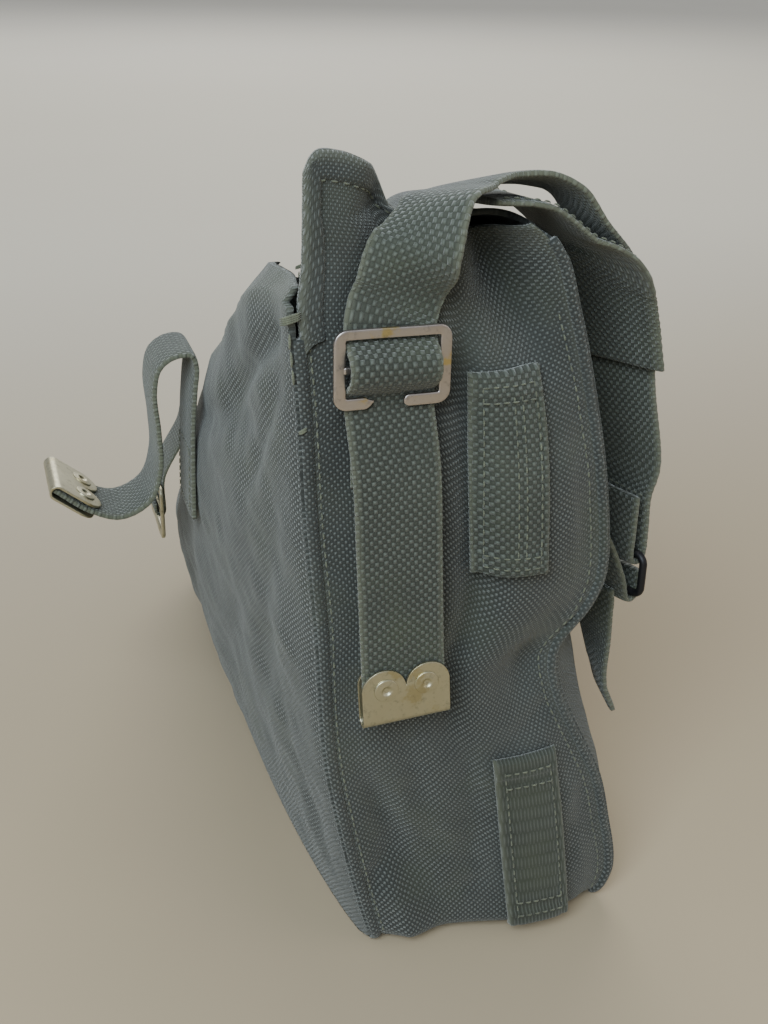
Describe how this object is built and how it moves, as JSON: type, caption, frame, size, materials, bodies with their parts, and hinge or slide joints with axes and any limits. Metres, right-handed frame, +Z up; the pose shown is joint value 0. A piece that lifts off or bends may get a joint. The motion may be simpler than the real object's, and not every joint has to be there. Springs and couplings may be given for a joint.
{
  "type": "canvas haversack",
  "caption": "Soft canvas side bag on its bottom, lid tucked in, webbing shoulder strap buckled at one side, loose closing strap with a brass tip at the front.",
  "frame": {"origin": "on the floor at the middle of the bag's flat bottom", "axes": "+Z up, +X from the front panel to the back panel, +Y from the side with the strap's buckle to the far side"},
  "size_m": [0.1883, 0.3097, 0.2649],
  "materials": {
    "canvas": "grey-green washed cotton canvas, coarse plain weave",
    "webbing": "olive-green cotton webbing, pebbled weave",
    "buckle_metal": "worn plated brass, pinkish grey with bare brass edges",
    "tip_brass": "dull aged sheet brass",
    "dark_metal": "blackened metal"
  },
  "bodies": {
    "root": {"side_strip": "canvas", "front_panel": "canvas", "back_panel_and_lid": "canvas", "upper_web_patch": "webbing", "lower_web_patch": "webbing", "strap_buckle": "buckle_metal", "buckle_chape": "webbing", "shoulder_band": "webbing", "shoulder_strap": "webbing", "strap_tip": "tip_brass", "strap_tip_rivet_left": "tip_brass", "strap_tip_rivet_right": "tip_brass", "rear_strap": "webbing", "rear_ring": "dark_metal", "rear_chape": "webbing", "rear_tail": "webbing", "closing_strap": "webbing", "closing_tip": "tip_brass", "closing_tip_rivet_left": "tip_brass", "closing_tip_rivet_right": "tip_brass", "front_chape": "webbing", "front_buckle": "tip_brass"}
  },
  "joints": []
}
